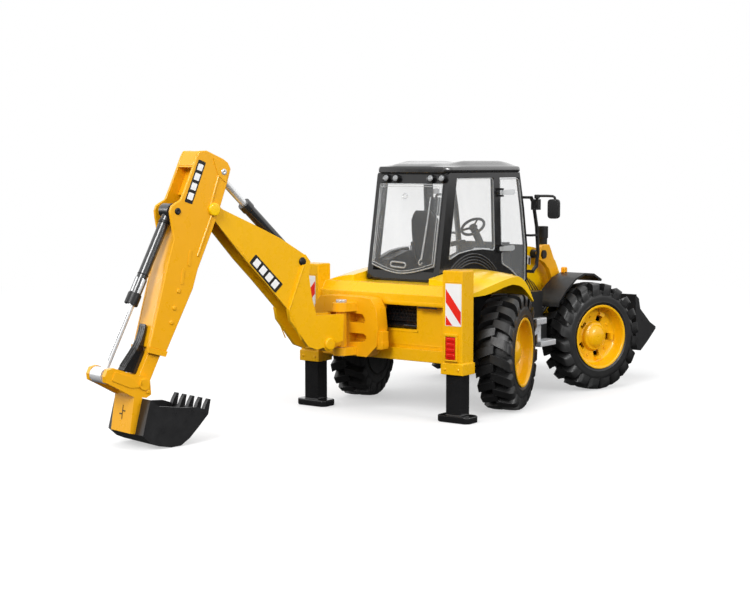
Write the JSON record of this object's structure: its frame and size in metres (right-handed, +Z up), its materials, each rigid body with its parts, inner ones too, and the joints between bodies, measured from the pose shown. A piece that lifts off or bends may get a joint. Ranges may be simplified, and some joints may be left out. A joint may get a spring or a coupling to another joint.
{
  "type": "toy backhoe loader",
  "caption": "Toy four-wheel-steer backhoe loader with a sliding, swinging digger, telescopic dipper, two stabiliser legs and a front loader bucket.",
  "frame": {"origin": "middle of the overall length and width, on the ground", "axes": "+X to the machine's right, +Y towards the front loader, +Z up"},
  "size_m": [0.1832, 0.5374, 0.1941],
  "materials": {
    "black_plastic": "satin black moulded plastic",
    "black_gloss": "gloss black moulded plastic",
    "black_metal": "satin black moulded plastic with a metallic look",
    "yellow_paint": "yellow glossy moulded plastic",
    "yellow_plastic": "yellow moulded plastic",
    "tyre": "matte rubber",
    "steel": "turned pin",
    "chrome": "bright plated",
    "silver_plastic": "silver painted plastic",
    "red_lens": "red transparent plastic",
    "clear": "clear moulded plastic"
  },
  "bodies": {
    "machine": {"chassis": "black_metal", "rear_frame": "yellow_paint", "rear_grille": "black_plastic", "tail_lamps": "red_lens", "body_shell": "yellow_plastic", "cab_floor": "black_plastic", "cab_frame": "black_gloss", "roof": "black_gloss", "work_lamps": "silver_plastic", "rear_window": "clear", "cab_windows": "clear", "seat": "black_plastic", "bonnet": "yellow_plastic", "front_grille": "black_plastic", "exhaust": "black_plastic", "front_fenders": "black_plastic", "steps": "silver_plastic", "mirror_rails": "black_plastic"},
    "front_left_knuckle": {"front_left_knuckle": "black_plastic"},
    "front_left_wheel": {"front_left_rim": "yellow_plastic", "front_left_tyre": "tyre"},
    "front_right_knuckle": {"front_right_knuckle": "black_plastic"},
    "front_right_wheel": {"front_right_rim": "yellow_plastic", "front_right_tyre": "tyre"},
    "front_tie_rod": {"front_tie_rod": "black_plastic"},
    "rear_left_knuckle": {"rear_left_knuckle": "black_plastic"},
    "rear_left_wheel": {"rear_left_rim": "yellow_plastic", "rear_left_tyre": "tyre"},
    "rear_right_knuckle": {"rear_right_knuckle": "black_plastic"},
    "rear_right_wheel": {"rear_right_rim": "yellow_plastic", "rear_right_tyre": "tyre"},
    "rear_tie_rod": {"rear_tie_rod": "black_plastic"},
    "left_stabiliser": {"left_stabiliser": "black_plastic"},
    "right_stabiliser": {"right_stabiliser": "black_plastic"},
    "left_door": {"left_door": "clear"},
    "right_door": {"right_door": "clear"},
    "steering_wheel": {"steering_wheel": "black_plastic"},
    "left_mirror": {"left_mirror": "black_plastic"},
    "right_mirror": {"right_mirror": "black_plastic"},
    "carriage": {"carriage": "yellow_paint", "swing_pin": "steel"},
    "kingpost": {"kingpost": "yellow_paint"},
    "boom": {"boom": "yellow_paint", "boom_pins": "steel"},
    "dipper": {"dipper": "yellow_paint", "dipper_pins": "steel", "bucket_ram_barrel": "black_plastic"},
    "inner_dipper": {"inner_dipper": "yellow_paint", "hose_guard": "black_plastic"},
    "bucket": {"bucket_carrier": "yellow_paint", "digger_bucket": "black_metal"},
    "bucket_ram_rod": {"bucket_ram_rod": "chrome"},
    "dipper_ram_rod": {"dipper_ram_rod": "chrome"},
    "dipper_ram_barrel": {"dipper_ram_barrel": "black_plastic"},
    "loader_arms": {"loader_arms": "yellow_paint"},
    "loader_bucket": {"loader_bucket": "black_metal"},
    "lift_ram_barrels": {"lift_ram_barrels": "black_plastic"},
    "lift_ram_rods": {"lift_ram_rods": "chrome"},
    "tilt_ram_barrels": {"tilt_ram_barrels": "black_plastic"},
    "tilt_ram_rods": {"tilt_ram_rods": "chrome"}
  },
  "joints": [
    {"name": "front_left_steer", "type": "hinge", "parent": "machine", "child": "front_left_knuckle", "pos_m": [-0.056, 0.16917, 0.044], "axis": [0, 0, 1], "range_deg": [-4, 43]},
    {"name": "front_right_steer", "type": "hinge", "parent": "machine", "child": "front_right_knuckle", "pos_m": [0.056, 0.16917, 0.044], "axis": [0, 0, 1], "range_deg": [-4.5, 43.5]},
    {"name": "front_tie_rod_pivot", "type": "hinge", "parent": "front_left_knuckle", "child": "front_tie_rod", "pos_m": [-0.06145, 0.15413, 0.044], "axis": [0, 0, 1], "range_deg": [-43.5, 4.5]},
    {"name": "front_left_wheel_spin", "type": "hinge", "parent": "front_left_knuckle", "child": "front_left_wheel", "pos_m": [-0.0654, 0.17257, 0.044], "axis": [0.9403, -0.3404, 0], "continuous": true},
    {"name": "front_right_wheel_spin", "type": "hinge", "parent": "front_right_knuckle", "child": "front_right_wheel", "pos_m": [0.0654, 0.16577, 0.044], "axis": [0.9403, -0.3404, 0], "continuous": true},
    {"name": "rear_left_steer", "type": "hinge", "parent": "machine", "child": "rear_left_knuckle", "pos_m": [-0.056, 0.03047, 0.044], "axis": [0, 0, 1], "range_deg": [-32, 0.5]},
    {"name": "rear_right_steer", "type": "hinge", "parent": "machine", "child": "rear_right_knuckle", "pos_m": [0.056, 0.03047, 0.044], "axis": [0, 0, 1], "range_deg": [-32.5, 1]},
    {"name": "rear_tie_rod_pivot", "type": "hinge", "parent": "rear_left_knuckle", "child": "rear_tie_rod", "pos_m": [-0.05167, 0.01507, 0.044], "axis": [0, 0, 1], "range_deg": [-1, 32.5]},
    {"name": "rear_left_wheel_spin", "type": "hinge", "parent": "rear_left_knuckle", "child": "rear_left_wheel", "pos_m": [-0.06563, 0.02776, 0.044], "axis": [0.9627, 0.2706, 0], "continuous": true},
    {"name": "rear_right_wheel_spin", "type": "hinge", "parent": "rear_right_knuckle", "child": "rear_right_wheel", "pos_m": [0.06563, 0.03318, 0.044], "axis": [0.9627, 0.2706, 0], "continuous": true},
    {"name": "left_stabiliser_slide", "type": "slide", "parent": "machine", "child": "left_stabiliser", "axis": [0, 0, 1], "range_m": [0, 0.027]},
    {"name": "left_door_hinge", "type": "hinge", "parent": "machine", "child": "left_door", "pos_m": [-0.0356, 0.07337, 0.141], "axis": [0, 0, 1], "range_deg": [0, 75]},
    {"name": "left_mirror_tilt", "type": "hinge", "parent": "machine", "child": "left_mirror", "pos_m": [-0.0426, 0.11537, 0.1588], "axis": [0, 0, 1], "range_deg": [-15, 40]},
    {"name": "right_stabiliser_slide", "type": "slide", "parent": "machine", "child": "right_stabiliser", "axis": [0, 0, 1], "range_m": [0, 0.027]},
    {"name": "right_door_hinge", "type": "hinge", "parent": "machine", "child": "right_door", "pos_m": [0.0356, 0.07337, 0.141], "axis": [0, 0, -1], "range_deg": [0, 75]},
    {"name": "right_mirror_tilt", "type": "hinge", "parent": "machine", "child": "right_mirror", "pos_m": [0.0426, 0.11537, 0.1588], "axis": [0, 0, -1], "range_deg": [-15, 40]},
    {"name": "steering_wheel_spin", "type": "hinge", "parent": "machine", "child": "steering_wheel", "pos_m": [0, 0.08703, 0.13485], "axis": [0, -0.6428, 0.766], "continuous": true},
    {"name": "carriage_slide", "type": "slide", "parent": "machine", "child": "carriage", "axis": [1, 0, 0], "range_m": [-0.005, 0.048]},
    {"name": "kingpost_swing", "type": "hinge", "parent": "carriage", "child": "kingpost", "pos_m": [-0.019, -0.06233, 0.064], "axis": [0, 0, 1], "range_deg": [-40, 64]},
    {"name": "boom_lift", "type": "hinge", "parent": "kingpost", "child": "boom", "pos_m": [-0.02295, -0.08092, 0.0555], "axis": [0.9781, -0.2079, 0], "range_deg": [-15, 38]},
    {"name": "dipper_crowd", "type": "hinge", "parent": "boom", "child": "dipper", "pos_m": [-0.04418, -0.18078, 0.1549], "axis": [0.9781, -0.2079, 0], "range_deg": [-42, 34]},
    {"name": "dipper_ram_rod_pivot", "type": "hinge", "parent": "dipper", "child": "dipper_ram_rod", "pos_m": [-0.04239, -0.17237, 0.18], "axis": [0.9781, -0.2079, 0], "range_deg": [-31, 38.3]},
    {"name": "dipper_ram_stroke", "type": "slide", "parent": "dipper_ram_rod", "child": "dipper_ram_barrel", "axis": [0.1536, 0.7225, -0.674], "range_m": [-0.0178, 0.0145]},
    {"name": "dipper_telescope", "type": "slide", "parent": "dipper", "child": "inner_dipper", "axis": [-0.0946, -0.4451, -0.8905], "range_m": [0, 0.027]},
    {"name": "bucket_curl", "type": "hinge", "parent": "inner_dipper", "child": "bucket", "pos_m": [-0.05622, -0.23742, 0.0422], "axis": [0.9781, -0.2079, 0], "range_deg": [-45, 24]},
    {"name": "bucket_ram_stroke", "type": "slide", "parent": "inner_dipper", "child": "bucket_ram_rod", "axis": [-0.0946, -0.4451, -0.8905], "range_m": [-0.02, 0.0107]},
    {"name": "loader_lift", "type": "hinge", "parent": "machine", "child": "loader_arms", "pos_m": [0, 0.14317, 0.111], "axis": [-1, 0, 0], "range_deg": [-50, 5]},
    {"name": "lift_ram_barrel_pivot", "type": "hinge", "parent": "machine", "child": "lift_ram_barrels", "pos_m": [0, 0.13517, 0.052], "axis": [-1, 0, 0], "range_deg": [-18.2, 2.1]},
    {"name": "lift_ram_stroke", "type": "slide", "parent": "lift_ram_barrels", "child": "lift_ram_rods", "axis": [0, 0.8523, 0.523], "range_m": [-0.0037, 0.0361]},
    {"name": "loader_tilt", "type": "hinge", "parent": "loader_arms", "child": "loader_bucket", "pos_m": [0, 0.22517, 0.036], "axis": [-1, 0, 0], "range_deg": [0, 60]},
    {"name": "tilt_ram_barrel_pivot", "type": "hinge", "parent": "loader_arms", "child": "tilt_ram_barrels", "pos_m": [0, 0.18917, 0.082], "axis": [-1, 0, 0], "range_deg": [-4.4, 0.2]},
    {"name": "tilt_ram_stroke", "type": "slide", "parent": "tilt_ram_barrels", "child": "tilt_ram_rods", "axis": [0, 0.8729, -0.4878], "range_m": [0, 0.027]}
  ],
  "couplings": [
    {"joint": "front_right_steer", "follows": "front_left_steer", "ratio": 1},
    {"joint": "front_tie_rod_pivot", "follows": "front_left_steer", "ratio": -1},
    {"joint": "rear_right_steer", "follows": "rear_left_steer", "ratio": 1},
    {"joint": "rear_tie_rod_pivot", "follows": "rear_left_steer", "ratio": -1},
    {"joint": "dipper_ram_rod_pivot", "follows": "dipper_crowd", "ratio": -0.9055},
    {"joint": "dipper_ram_stroke", "follows": "dipper_crowd", "m_per_rad": 0.02408},
    {"joint": "bucket_ram_stroke", "follows": "bucket_curl", "m_per_rad": 0.02527},
    {"joint": "lift_ram_barrel_pivot", "follows": "loader_lift", "ratio": 0.3565},
    {"joint": "lift_ram_stroke", "follows": "loader_lift", "m_per_rad": -0.04121},
    {"joint": "tilt_ram_barrel_pivot", "follows": "loader_tilt", "ratio": -0.0685},
    {"joint": "tilt_ram_stroke", "follows": "loader_tilt", "m_per_rad": 0.02565}
  ]
}
